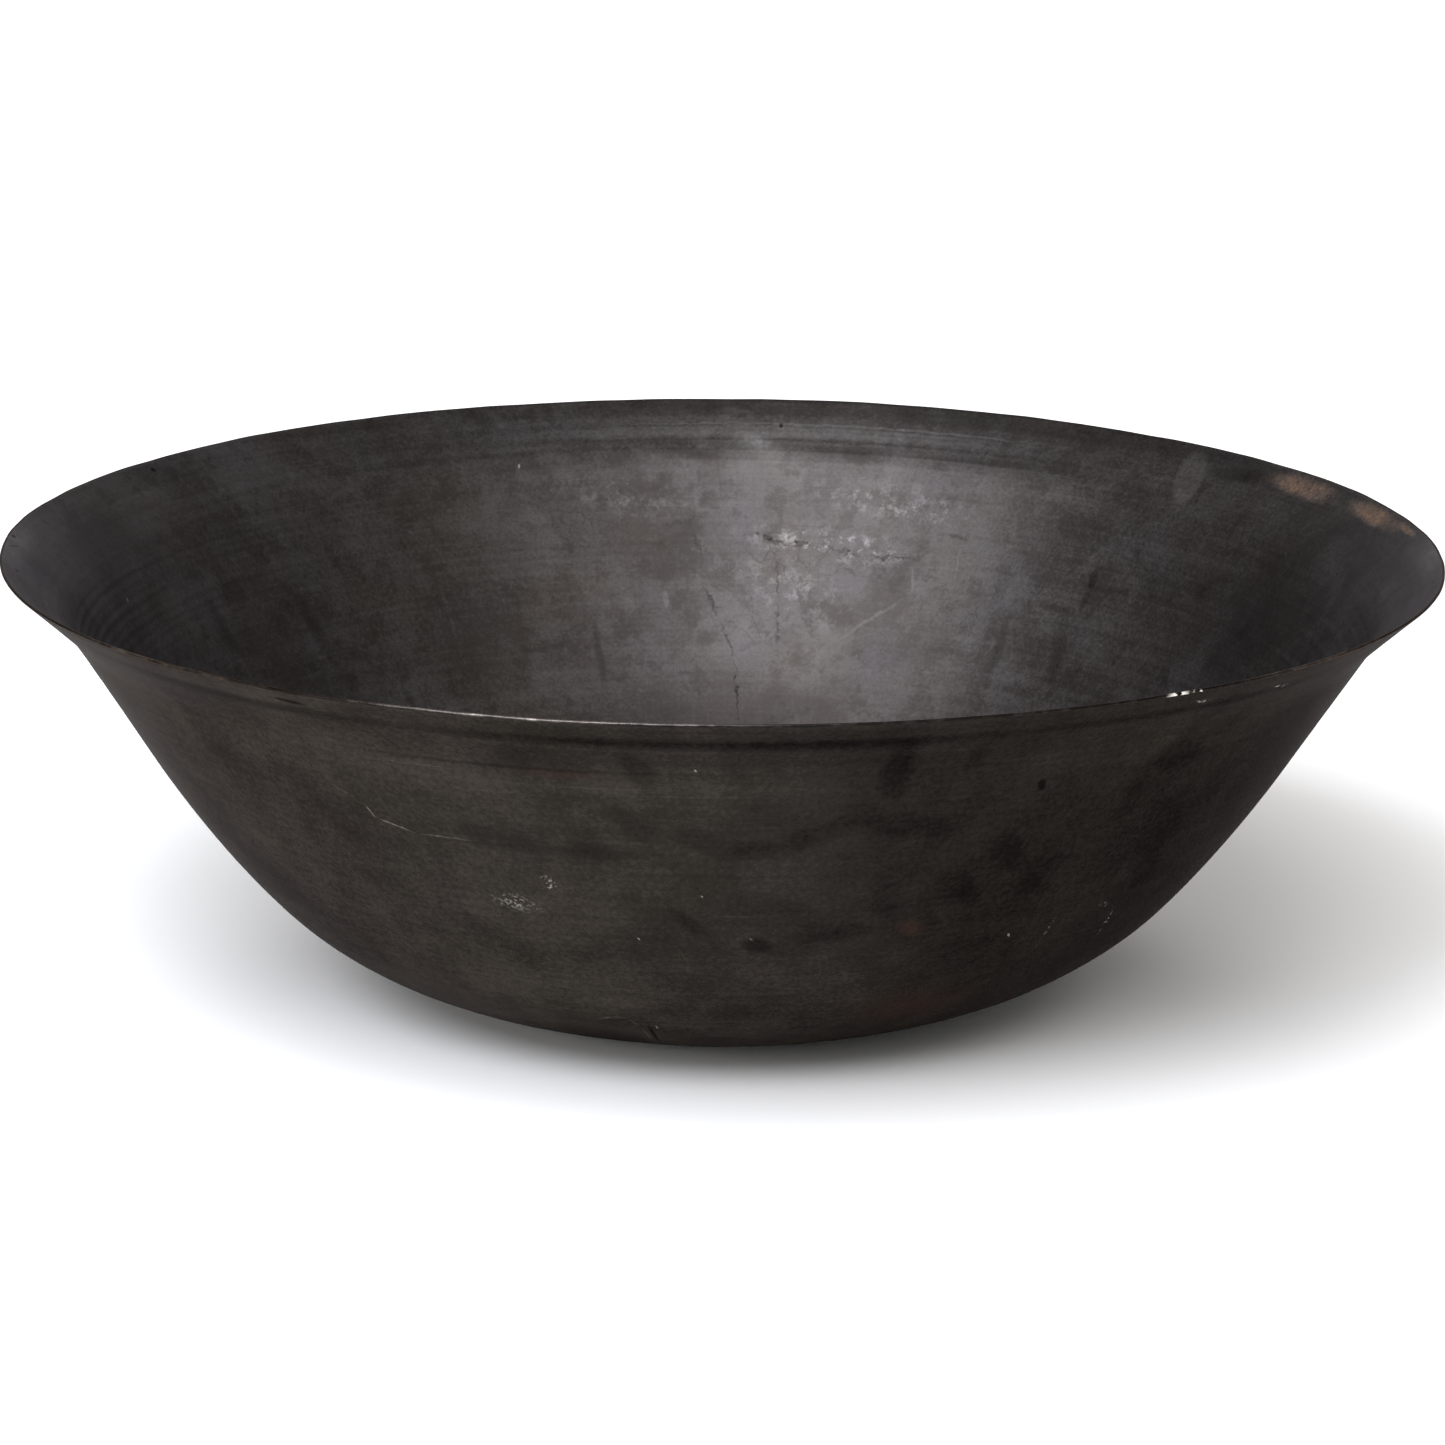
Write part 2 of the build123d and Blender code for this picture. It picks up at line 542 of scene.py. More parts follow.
# %% Strokes on the map of the sheet
RIM_MM = RIM_RADIUS / MM
SHEET_MM = RIM_END / MM


def laid_out(tree, place, stray, millimetres):
    """The sheet's map in millimetres, pushed about by noise so that marks get ragged outlines.

    The noise's features are this many millimetres across. It seldom strays more than a quarter from
    its middle, so four times that is about the stray.
    """
    flat = add(tree, "UVMap", uv_map="sheet").outputs[0]
    size = (2 * np.pi * RIM_MM, SHEET_MM, 0)
    push = add(tree, "TexNoise", {"Vector": place, "Scale": 1 / (millimetres * MM), "Detail": 4.0})
    off_middle = {0: push.outputs[1], 1: (0.5, 0.5, 0.5)}
    centred = add(tree, "VectorMath", off_middle, operation="SUBTRACT").outputs[0]
    in_mm = add(tree, "VectorMath", {0: flat, 1: size}, operation="MULTIPLY").outputs[0]
    moved = {0: centred, 1: (stray * 4, stray * 4, 0), 2: in_mm}
    return add(tree, "VectorMath", moved, operation="MULTIPLY_ADD").outputs[0]


def stroke(tree, sheet, start, end, wide, soft, strength):
    """One mark between two places on the sheet, each a bearing in degrees and a length in millimetres.

    The map is moved, turned and divided so that the mark's ellipse becomes the unit circle. The mark is
    1 - distance there, and it reaches full strength once that passes the soft share.
    """
    x0, x1 = np.radians([start[0], end[0]]) * RIM_MM
    across, up = x1 - x0, end[1] - start[1]
    half = (float(np.hypot(across, up)) + wide) / 2
    own = {"Vector": sheet, "Location": ((x0 + x1) / 2, (start[1] + end[1]) / 2, 0),
           "Rotation": (0, 0, float(np.arctan2(up, across))), "Scale": (half, wide / 2, 1)}
    circle = add(tree, "Mapping", own, vector_type="TEXTURE").outputs[0]
    hill = add(tree, "TexGradient", {"Vector": circle}, gradient_type="SPHERICAL").outputs[1]
    level = {"Value": hill, "From Max": soft, "To Max": strength}
    return add(tree, "MapRange", level, interpolation_type="SMOOTHSTEP").outputs[0]


def strokes(tree, sheet, marks):
    """The strongest of several marks at every place."""
    result = 0.0
    for mark in marks:
        stronger = {0: stroke(tree, sheet, *mark), 1: result}
        result = add(tree, "Math", stronger, operation="MAXIMUM").outputs[0]
    return result


print("map of the sheet:", round(2 * np.pi * RIM_MM), "mm round by", round(SHEET_MM), "mm up")

# %% [markdown]
# ## Oiled spun steel, for the inside
#
# Mild steel that was spun, heated and oiled carries a thin black oxide. It still reflects as a metal does,
# but weakly, so the colour is a very dark grey and the highlight is a broad satin patch. Water, grit and
# fingers leave it patchy, at every size from clouds a few centimetres wide down to a fine peppering, with
# brush lines that run round the bowl. One tone carries all of this: each pattern adds to it or takes from
# it, and a row of paint chips turns it into colour at the end. Large patterns are noise. The marks that
# give this pan its own face are named below, each with its place on the sheet. A few of them are painted
# highlight, at the neck and at both ends of the rim, and painted shade, on the lip, under the tool rings
# and low on the wall.

# %% Marks on the inside: start, end, width, softness, strength
INSIDE_LIGHT = [
    ((180.0, 282), (174.3, 266), 14, 1.0, 0.20),      # smudge wiped across the neck
    ((131.9, 284), (130.8, 271), 15, 0.4, 0.17),      # pale dab of dried clay below the rim
    ((166.6, 197), (158.2, 218), 2.2, 0.9, 0.09),     # long slanting scratch with a hooked end
    ((158.2, 217), (158.9, 229), 2.4, 0.9, 0.09),
    ((186.4, 215), (186.3, 210), 4, 0.6, 0.12),       # small worn spot
    ((200.6, 265.6), (200.6, 264.6), 1.1, 0.5, 0.6),  # two bright chips
    ((257.4, 250.5), (257.4, 249.5), 1.1, 0.5, 0.5),
    ((191.0, 262), (190.6, 236), 1.2, 1.0, 0.07),     # fine rubs down the wall
    ((206.5, 270), (206.0, 246), 1.4, 1.0, 0.06),
    ((154.0, 248), (153.6, 214), 1.3, 1.0, 0.06),
    ((219.0, 276), (218.4, 250), 2.0, 1.0, 0.05),
    ((212.0, 277.0), (140.0, 277.0), 7.0, 0.8, 0.14), # painted highlight along the tool rings at the back of the neck
    ((197.0, 280.5), (140.0, 280.3), 1.6, 0.6, 0.14),
    ((180.2, 287.2), (177.4, 285.6), 5.0, 0.8, 0.12),
    ((262.0, 289.0), (279.0, 289.0), 19, 0.9, 0.27),  # painted highlight at both ends of the rim, where the flare reflects the bright studio
    ((80.0, 289.0), (97.0, 289.0), 21, 0.9, 0.24),
    ((205.6, 232), (205.0, 205), 2.4, 1.0, 0.05),     # dried runs down the left
    ((212.4, 226), (212.0, 196), 3.0, 1.0, 0.05),
]
INSIDE_DARK = [
    ((128.8, 282.5), (121.8, 286), 12, 0.9, 0.20),    # damp stain beside the clay
    ((137.2, 236), (137.1, 230), 5.0, 0.4, 0.15),     # ladder of two smudges
    ((137.3, 227.5), (137.3, 222.5), 4.2, 0.5, 0.14),
    ((146.2, 220), (146.0, 180), 8, 1.0, 0.10),       # runs of old water
    ((139.0, 218), (137.0, 188), 9, 1.0, 0.11),
    ((195.0, 208), (194.8, 176), 6, 0.9, 0.11),
    ((243.8, 238), (243.4, 217), 12, 1.0, 0.10),
    ((230.6, 230), (230.2, 209), 10, 1.0, 0.11),
    ((221.6, 189), (221.2, 179), 7, 1.0, 0.10),
    ((262.0, 240), (256.0, 238), 8, 1.0, 0.08),
    ((277.6, 285.4), (277.0, 285), 2.4, 0.6, 0.5),    # rust pits along the lip
    ((239.8, 288.4), (239.6, 287.6), 2.2, 0.6, 0.5),
    ((174.6, 280.4), (174.5, 279.6), 1.8, 0.6, 0.4),
    ((80.9, 288), (80.8, 287), 2.2, 0.6, 0.5),
    ((187.5, 270.0), (179.5, 265.5), 9, 1.0, 0.11),   # painted shade under the tool rings
    ((173.6, 270.2), (160.0, 267.8), 7, 1.0, 0.08),
    ((162.0, 267.6), (146.0, 271.4), 7, 1.0, 0.07),
    ((106.0, 288.5), (214.0, 288.5), 15, 0.6, 0.11),  # painted shade along the back of the lip, which faces away from the light
    ((176.0, 286.0), (168.0, 285.8), 6, 0.8, 0.08),
    ((205.0, 165.0), (150.0, 165.0), 60, 1.0, 0.10),  # painted shade, low on the back wall and on the right wall, where the highlight dims
    ((132.0, 238.0), (98.0, 238.0), 70, 1.0, 0.12),
    ((124.6, 243.0), (122.8, 231.0), 4, 0.7, 0.10),   # brown dribble
    ((266.0, 270.0), (246.0, 276.0), 26, 1.0, 0.12),  # dull neck beside each bright end of the rim
    ((92.0, 270.0), (108.0, 276.0), 28, 1.0, 0.12),
    ((268.9, 290.2), (268.5, 289.8), 2.0, 0.6, 0.5),
    ((269.8, 287.0), (272.2, 290.6), 1.0, 0.7, 0.28),
]
INSIDE_CRACKS = [
    ((182.2, 218.5), (180.4, 205), 1.6, 0.6, 0.55),   # crack in the oxide, in three runs
    ((180.4, 205), (178.4, 190), 1.6, 0.6, 0.55),
    ((178.4, 190), (177.7, 163), 1.5, 0.5, 0.60),
    ((174.2, 229), (173.6, 212), 1.7, 0.7, 0.45),     # a second one beside it
    ((173.6, 212), (173.4, 193), 1.7, 0.7, 0.40),
    ((177.4, 238.0), (172.6, 232.6), 3.4, 0.7, 0.60), # scuffs across the brightest part
    ((173.4, 233.6), (170.2, 233.8), 3.0, 0.7, 0.60),
    ((168.8, 233.0), (164.4, 230.2), 2.6, 0.7, 0.55),
    ((164.6, 230.6), (158.0, 230.8), 2.2, 0.7, 0.45),
    ((186.0, 240.0), (182.0, 243.0), 3.2, 0.8, 0.40),
    ((155.8, 241.0), (153.0, 240.0), 3.0, 0.8, 0.40),
    ((182.0, 226.0), (183.4, 240.0), 1.6, 0.8, 0.35),
]
INSIDE_CRAZED = [
    ((181.0, 226), (163.0, 229), 30, 0.9, 0.24),      # crazed oxide over the brightest part
    ((184.0, 206), (172.0, 200), 36, 1.0, 0.18),
    ((200.0, 250), (186.0, 232), 26, 1.0, 0.12),
    ((157.0, 214), (146.0, 206), 32, 1.0, 0.12),
]
INSIDE_POLISHED = [
    ((179.5, 237), (158.0, 231), 20, 0.8, 0.30),      # oxide rubbed through to brighter steel
    ((174.0, 256), (150.0, 247), 22, 1.0, 0.26),
    ((180.0, 224), (164.0, 208), 34, 1.0, 0.18),
    ((200.0, 258), (180.0, 246), 22, 1.0, 0.18),
]
INSIDE_RUST = [
    ((122.4, 286.4), (112.4, 285.8), 11, 0.7, 1.0),   # two long dabs of rust under the rim
    ((110.4, 286.8), (99.6, 287.2), 9.5, 0.7, 1.0),
    ((101.4, 289.0), (95.6, 289.0), 4.0, 0.7, 0.9),
]

print("inside marks:", len(INSIDE_LIGHT), "light,", len(INSIDE_DARK), "dark,", len(INSIDE_RUST), "of rust")


# %% Patterns of the inside
def inside_patterns(tree, place):
    """The noises that the inside is made of: place, millimetres, detail, roughness and a crisp edge."""
    ringed = round_the_pan(tree, place, 0.02)
    downwards = down_the_wall(tree, place, 0.12)
    return mottle(tree, {
        "clouds": (place, 50.0, 4.0, 0.5),              # patches that a rag left
        "stains": (place, 15.0, 7.0, 0.7),              # dried splashes
        "pepper": (place, 1.3, 4.0, 0.75),              # grit marks: 0.3 mm in truth, coarser here to show
        "rubs": (downwards, 4.0, 4.0, 0.6),             # gravel sliding down the wall
        "lines": (ringed, 1.6, 3.0, 0.6),               # brush lines: 0.2 mm in truth, coarser here to show
        "pools": (place, 42.0, 8.0, 0.62, 0.47, 0.51),  # oil that dried to an outline
        "scabs": (place, 13.0, 8.0, 0.68, 0.55, 0.58),  # flakes of thicker oxide
        "bare": (place, 4.5, 8.0, 0.75, 0.50, 0.62),    # specks where the oxide is rubbed through
        "hue": (place, 30.0, 4.0, 0.5),                 # slow drift between brown and blue grey
    })


def crazing(tree, sheet, stains):
    """Fine cracks in the oxide: the edges of a net of 8 mm cells, faded by the stains, in their places.

    A crack is strongest on the cell's edge and gone 0.05 of a cell away.
    """
    net = {"Vector": sheet, "Scale": 1 / 8.0, "Randomness": 1.0}
    cell_edge = add(tree, "TexVoronoi", net, feature="DISTANCE_TO_EDGE").outputs["Distance"]
    crack = {"Value": cell_edge, "From Max": 0.05, "To Min": 0.8, "To Max": 0.0}
    cracks = add(tree, "MapRange", crack).outputs[0]
    faded = within(tree, cracks, total(tree, 0.45, (stains, 3.0)))
    return within(tree, faded, strokes(tree, sheet, INSIDE_CRAZED))


def inside_tone(tree, place, sheet, pattern):
    """How light the inside is: the patterns about 0.53, plus the light marks, minus the dark ones.
    Some light marks are painted highlight, and some dark ones painted shade.
    """
    shares = {"clouds": 0.20, "stains": 0.28, "pepper": 0.40, "rubs": 0.07, "lines": 0.16, "pools": 0.045,
              "scabs": -0.05}
    tone = total(tree, 0.53, *((pattern[name], share) for name, share in shares.items()))
    polished = within(tree, pattern["bare"], strokes(tree, sheet, INSIDE_POLISHED))
    jagged = laid_out(tree, place, 1.5, 2.6)
    broken = total(tree, 0.5, (pattern["pepper"], 5.0))
    split = within(tree, broken, strokes(tree, jagged, INSIDE_CRACKS))
    light = strokes(tree, sheet, INSIDE_LIGHT)
    dark = strokes(tree, sheet, INSIDE_DARK)
    crazed = crazing(tree, sheet, pattern["stains"])
    return marked(tree, tone, (light, 1.0), (polished, 1.0), (dark, -1.0), (crazed, -1.0), (split, -0.5))


print("crack marks:", len(INSIDE_CRACKS), "splits and", len(INSIDE_CRAZED), "crazed patches")


# %% Build the inside finish
def oiled_spun_steel():
    """Mild steel, spun, heated and oiled: a weak dark mirror with a broad satin highlight.

    Rust is a powder on top of it, so it is hardly a metal and much rougher. Seen edge-on the oiled
    steel mirrors less than bare metal would, and a little bluer, which the edge tint gives.
    """
    material, tree = start_finish("oiled_spun_steel")
    place = add(tree, "TexCoord").outputs["Object"]
    sheet = laid_out(tree, place, 0.7, 5.0)
    pattern = inside_patterns(tree, place)
    pepper, stains, lines = pattern["pepper"], pattern["stains"], pattern["lines"]
    tone = inside_tone(tree, place, sheet, pattern)
    steel = shades(tree, tone, "#0b0b0a", "#211f1d", "#373433", "#525050", "#777678")
    steel = tinted(tree, steel, pattern["hue"], "#f0f4ea", "#f9f5ee", "#f3f2f3", "#f6f3ea")
    broken = total(tree, 0.80, (pepper, 1.2), (stains, 3.0))
    rusty = within(tree, strokes(tree, sheet, INSIDE_RUST), broken)
    rust = shades(tree, pepper, "#1f1813", "#38291e", "#573f2b", "#705339")
    rough = total(tree, 0.45, (pepper, 0.25), (stains, 0.15), (lines, 0.1))
    close_finish(tree, {
        "Base Color": add(tree, "Mix", {0: rusty, 6: steel, 7: rust}, data_type="RGBA").outputs[2],
        "Metallic": marked(tree, 1.0, (rusty, -0.9)),
        "Roughness": marked(tree, rough, (rusty, 0.35)),
        "Normal": grain(tree, (pepper, 0.5), (lines, 0.5), (stains, 1.0)),
        "Specular Tint": linear("#e2e1e5"),
    })
    return material


pan_mesh.materials.append(oiled_spun_steel())
print("inside finish:", len(pan_mesh.materials[0].node_tree.nodes), "nodes")

# %% [markdown]
# ## Fire-darkened steel, for the outside
#
# Pans double as camp stove and washbasin, so the outside is smoked nearly black with a brown cast. It is
# even darker than the inside and has no bright patch, only what the pale ground sends back up. On top of
# that lie damp blotches, a few scratches down to brighter metal, and specks of dried grit and clay. Some
# strokes are painted light and shade instead: painted shade over the right side, along the lip's crease
# and at the right end of the lip, and painted light on the lower wall and along the crest of the knock. A
# second copy of the inside's finish would be too clean and too blue for this. The same tools build it,
# with its own chips, and the damp marks lie on a map that is pushed about much more.

# %% Marks on the outside: start, end, width, softness, strength
OUTSIDE_PAINTED_SHADE = [
    ((6, 215), (100, 200), 300, 1.0, 0.25),           # painted shade over the right side, which gets less light
]
OUTSIDE_DAMP = [
    ((-22.5, 234), (-15.5, 230.5), 15, 0.7, 0.10),    # row of damp blotches below the neck
    ((-14.5, 229.5), (-6.5, 232), 12, 0.7, 0.10),
    ((-9.0, 249), (-5.5, 239), 13, 0.8, 0.08),
    ((-7.0, 273), (-5.6, 259), 12, 0.7, 0.10),
    ((-16.4, 277), (-15.6, 262), 13, 0.8, 0.07),
    ((13.6, 279), (14.2, 250), 14, 0.7, 0.12),        # drip that ran down from the lip
    ((20.6, 276), (20.0, 263), 12, 0.8, 0.10),
    ((-3.5, 239), (1.0, 232), 12, 0.7, 0.11),         # wavy wet line
    ((-0.5, 231.5), (7.0, 234), 12, 0.7, 0.11),
    ((5.5, 234), (12.5, 246), 14, 0.7, 0.11),
    ((10.5, 247), (19.5, 236), 18, 0.7, 0.11),
    ((25.4, 232), (28.6, 217), 14, 0.7, 0.07),        # two smears like commas
    ((28.0, 219), (31.4, 207), 10, 0.8, 0.06),
    ((22.0, 217), (25.6, 197), 12, 0.7, 0.065),
    ((15.0, 216), (16.4, 205), 18, 0.8, 0.07),
    ((-4.2, 206), (-1.4, 196), 10, 0.7, 0.11),
    ((6.0, 208), (9.0, 199), 18, 0.8, 0.08),
    ((6.5, 192.5), (16.5, 196), 10, 0.7, 0.10),
    ((39.0, 256.5), (42.8, 254.5), 18, 0.6, 0.09),
    ((-25.0, 187), (-21.5, 181), 26, 0.8, 0.06),
]
OUTSIDE_DARK = [
    ((2.6, 190.4), (4.8, 189.4), 9, 0.6, 0.18),       # round soot spot
    ((27.0, 253.6), (27.2, 251.4), 3.8, 0.6, 0.22),
    ((-9.0, 142), (-8.8, 114), 3.4, 0.6, 0.32),       # shadow line of the knock in the bottom
    ((-66.0, 280.6), (-14.0, 280.6), 9.0, 1.0, 0.17), # painted shade along the lip's crease
    ((-34.0, 280.4), (34.0, 280.4), 10.0, 1.0, 0.24),
    ((14.0, 280.6), (66.0, 280.6), 9.0, 1.0, 0.16),
    ((-38.0, 263.6), (11.0, 264.0), 2.4, 0.9, 0.09),
    ((-34.6, 286.5), (-32.0, 285.5), 3.0, 0.6, 0.30), # bruise below the nick
    ((58.0, 284.0), (92.0, 284.0), 22, 0.8, 0.26),    # painted shade at the right end of the lip, damping its edge-on reflection
]
OUTSIDE_LIGHT = [
    ((-44.0, 150.0), (-6.0, 150.0), 100, 1.0, 0.10),  # painted light on the lower wall, low on the front left and on the right
    ((-24.0, 205.0), (-8.0, 205.0), 60, 1.0, 0.07),
    ((34.0, 190.0), (48.0, 180.0), 60, 1.0, 0.09),
    ((-37.0, 257.0), (10.0, 258.0), 16, 1.0, 0.07),   # band rubbed by the other pans in the stack
    ((-32.0, 260.4), (-18.0, 260.6), 0.7, 0.8, 0.16),
    ((-21.0, 256.8), (1.0, 257.2), 0.7, 0.8, 0.15),
    ((-12.0, 254.6), (6.0, 254.8), 0.6, 0.8, 0.12),
    ((-28.0, 252.6), (-9.0, 252.8), 0.6, 0.8, 0.09),
    ((-31.9, 238.4), (-31.3, 234.0), 1.1, 0.5, 0.34), # hooked scratch down to bare steel
    ((-31.5, 234.8), (-27.2, 230.0), 1.0, 0.5, 0.30),
    ((-28.0, 230.2), (-21.2, 230.8), 0.9, 0.6, 0.22),
    ((-35.4, 246.5), (-32.4, 240.8), 0.8, 0.8, 0.16),
    ((-1.4, 203.6), (6.0, 203.9), 1.6, 1.0, 0.10),
    ((-22.2, 131.3), (-15.4, 141.7), 2.4, 0.8, 0.16), # painted highlight along the crest of the knock
    ((-15.6, 141.5), (-13.2, 144.8), 3.0, 0.7, 0.30),
    ((-13.6, 144.8), (-11.2, 144.8), 3.0, 0.7, 0.30),
    ((-11.4, 144.6), (-10.2, 137.0), 2.0, 0.7, 0.28),
    ((-10.3, 138.0), (-9.9, 118.0), 2.0, 0.6, 0.24),
    ((3.0, 193.6), (3.3, 192.6), 1.1, 0.6, 0.40),     # chips
    ((-8.0, 192.2), (-7.9, 191.4), 1.0, 0.5, 0.50),
    ((-1.7, 213.2), (-1.6, 212.6), 0.9, 0.5, 0.45),
    ((-2.0, 266.4), (-1.9, 265.6), 0.9, 0.5, 0.50),
    ((-8.1, 139.4), (-8.0, 137.2), 1.2, 0.5, 0.75),
    ((31.3, 184.6), (31.6, 183.4), 1.5, 0.5, 0.80),
]
OUTSIDE_GRIT = [
    ((-15.9, 217.0), (-15.5, 213.5), 6.0, 0.6, 1.0),  # dried splash, dense then sparse
    ((-21.5, 206.0), (-17.6, 204.0), 11.0, 1.0, 0.75),
    ((36.6, 190.0), (36.9, 172.0), 2.6, 0.9, 0.5),    # chalky scuffs low on the right
    ((46.2, 184.0), (47.8, 169.0), 2.8, 0.8, 0.6),
    ((42.0, 190.6), (45.0, 187.0), 3.0, 0.9, 0.45),
    ((37.2, 284.8), (38.8, 284.2), 2.2, 0.6, 1.0),
    ((46.0, 282.4), (48.4, 281.2), 2.6, 0.8, 0.9),
]
OUTSIDE_RED = [
    ((18.4, 196.5), (19.8, 193.0), 12, 1.0, 0.5),     # old rust showing through
    ((17.0, 150.0), (32.0, 144.0), 40, 1.0, 0.40),
    ((-18.0, 262.0), (-6.0, 262.0), 6, 1.0, 0.25),
]

print("outside marks:", len(OUTSIDE_LIGHT), "light,", len(OUTSIDE_DARK) + len(OUTSIDE_DAMP), "dark")


# %% Build the outside finish
def fire_darkened_steel():
    """Mild steel smoked over a fire: a dull, very dark mirror with a brown cast.

    Dried grit lies on it in specks that are no metal at all. Edge-on it mirrors only half of what bare
    metal would, which keeps the sides of the pan dark against the pale ground.
    """
    material, tree = start_finish("fire_darkened_steel")
    place = add(tree, "TexCoord").outputs["Object"]
    sheet = laid_out(tree, place, 0.5, 6.0)
    damp_sheet = laid_out(tree, place, 2.4, 16.0)
    pattern = mottle(tree, {
        "clouds": (place, 55.0, 4.0, 0.5),                             # smoke
        "stains": (place, 14.0, 6.0, 0.65),                            # dried splashes
        "pepper": (place, 1.6, 3.0, 0.7),                              # soot grains, coarser here to show
        "lines": (round_the_pan(tree, place, 0.02), 1.8, 3.0, 0.6),    # scouring lines, coarser as well
        "hue": (place, 70.0, 3.0, 0.5),                                # slow drift of the brown cast
        "specks": (place, 1.1, 2.0, 0.6, 0.53, 0.59),                  # grains of sand and clay
    })
    pepper, stains, lines = pattern["pepper"], pattern["stains"], pattern["lines"]
    tone = total(tree, 0.55, (pattern["clouds"], 0.36), (stains, 0.28), (pepper, 0.42), (lines, 0.14))
    # The strokes add and take away real marks, and painted light and painted shade as well.
    tone = marked(tree, tone,
                  (strokes(tree, sheet, OUTSIDE_LIGHT), 1.0),
                  (strokes(tree, sheet, OUTSIDE_DARK), -1.0),
                  (strokes(tree, damp_sheet, OUTSIDE_DAMP), -1.0),
                  (strokes(tree, damp_sheet, OUTSIDE_PAINTED_SHADE), -1.0))
    soot = shades(tree, tone, "#0a0a0a", "#1d1b1a", "#33302d", "#4e4945", "#8c867f")
    soot = tinted(tree, soot, pattern["hue"], "#fbf4ed", "#f5f4ea", "#f6f1ee", "#faf3e8")
    reddened = {0: strokes(tree, sheet, OUTSIDE_RED), 6: soot, 7: linear("#42302a")}
    soot = add(tree, "Mix", reddened, data_type="RGBA").outputs[2]
    grit = within(tree, pattern["specks"], strokes(tree, sheet, OUTSIDE_GRIT))
    gritty = {0: grit, 6: soot, 7: linear("#7b756d")}
    close_finish(tree, {
        "Base Color": add(tree, "Mix", gritty, data_type="RGBA").outputs[2],
        "Metallic": marked(tree, 1.0, (grit, -1.0)),
        "Roughness": total(tree, 0.55, (pepper, 0.2), (stains, 0.15)),
        "Normal": grain(tree, (pepper, 0.5), (lines, 0.4), (stains, 0.8)),
        "Specular Tint": linear("#b8b5b6"),
    })
    return material


pan_mesh.materials.append(fire_darkened_steel())
print("outside finish:", len(pan_mesh.materials[1].node_tree.nodes), "nodes")

# %% [markdown]
# ## The worn cut edge
#
# The edge is what gets knocked and rubbed, so it is the one place where bare steel still shows. It is a
# bright hairline, brightest left of the front, browned by rust on both sides of that and dull in between.
# One even colour would draw a line round the pan as if by pen. So its brightness is noise about as long
# as a knock, plus a few strokes, and brown chips take over from the grey ones where it rusted.

# %% Build the edge finish
BELOW_EDGE = 291.0  # millimetres along the sheet
HAIRLINE = 292.2    # the crest of the edge, as the map has it
EDGE_BRIGHT = [
    ((-30.5, HAIRLINE), (6.0, HAIRLINE), 1.5, 0.6, 0.46),
    ((-62.0, HAIRLINE), (-36.0, HAIRLINE), 1.3, 0.8, 0.32),
    ((37.0, HAIRLINE), (60.0, HAIRLINE), 1.3, 0.7, 0.26),
    ((-22.0, BELOW_EDGE), (-4.0, BELOW_EDGE), 8, 0.7, 0.16),
]
EDGE_BROWN = [
    ((-60.0, BELOW_EDGE), (-21.0, BELOW_EDGE), 9, 0.7, 0.7),
    ((36.0, BELOW_EDGE), (88.0, BELOW_EDGE), 9, 0.7, 0.8),
]
EDGE_CLAY = [
    ((33.9, BELOW_EDGE), (35.3, BELOW_EDGE), 5, 0.6, 1.0),
    ((36.2, BELOW_EDGE), (36.7, BELOW_EDGE), 4, 0.6, 1.0),
]
EDGE_PITS = [((-34.8, BELOW_EDGE), (-31.6, BELOW_EDGE), 5, 0.6, 0.8)]


def worn_cut_edge():
    """Sheared mild steel, rubbed bare: the brightest and smoothest metal on the pan.

    Crumbs of dried clay sit on it in one place and are no metal. Pits beside the nick are near black.
    """
    material, tree = start_finish("worn_cut_edge")
    place = add(tree, "TexCoord").outputs["Object"]
    sheet = laid_out(tree, place, 0.3, 5.0)
    pattern = mottle(tree, {"knocks": (place, 6.0, 5.0, 0.6), "crumbs": (place, 2.2, 2.0, 0.6, 0.44, 0.50)})
    worn = total(tree, 0.5, (pattern["knocks"], 0.9), (strokes(tree, sheet, EDGE_BRIGHT), 1.0))
    steel = shades(tree, worn, "#1d1b1a", "#3b3735", "#5f5955", "#aaa39b", "#ece6dc")
    brown = shades(tree, worn, "#241f1c", "#443932", "#66564b", "#a8917e", "#ead9c8")
    clay = within(tree, strokes(tree, sheet, EDGE_CLAY), pattern["crumbs"])
    layers = [
        (strokes(tree, sheet, EDGE_BROWN), brown),
        (strokes(tree, sheet, EDGE_PITS), linear("#15110f")),
        (clay, linear("#d8d2c6")),
    ]
    colour = steel
    for share, over in layers:
        colour = add(tree, "Mix", {0: share, 6: colour, 7: over}, data_type="RGBA").outputs[2]
    close_finish(tree, {
        "Base Color": colour,
        "Metallic": marked(tree, 1.0, (clay, -1.0)),
        "Roughness": 0.38,
        "Specular Tint": linear("#cec8c4"),
    })
    return material


pan_mesh.materials.append(worn_cut_edge())
print("finishes:", [material.name for material in pan_mesh.materials])

# %% [markdown]
# ## Floor, light and camera
#
# A dark pan needs a pale place: white paper on the ground and a white sky give its outside something to
# reflect. Two large softboxes, high on the front left and over the front, draw the broad satin patch on
# the inside of the far wall. A low one on the left lights the outside, and two weak ones on the right and
# behind keep the rest of the bowl from going black. Small lamps would be simpler to place, but they would
# draw hard little suns on satin steel.

# %% Lay the floor
FLOOR_REACH = 40.0   # metres each way
FLOOR_SQUARES = 40


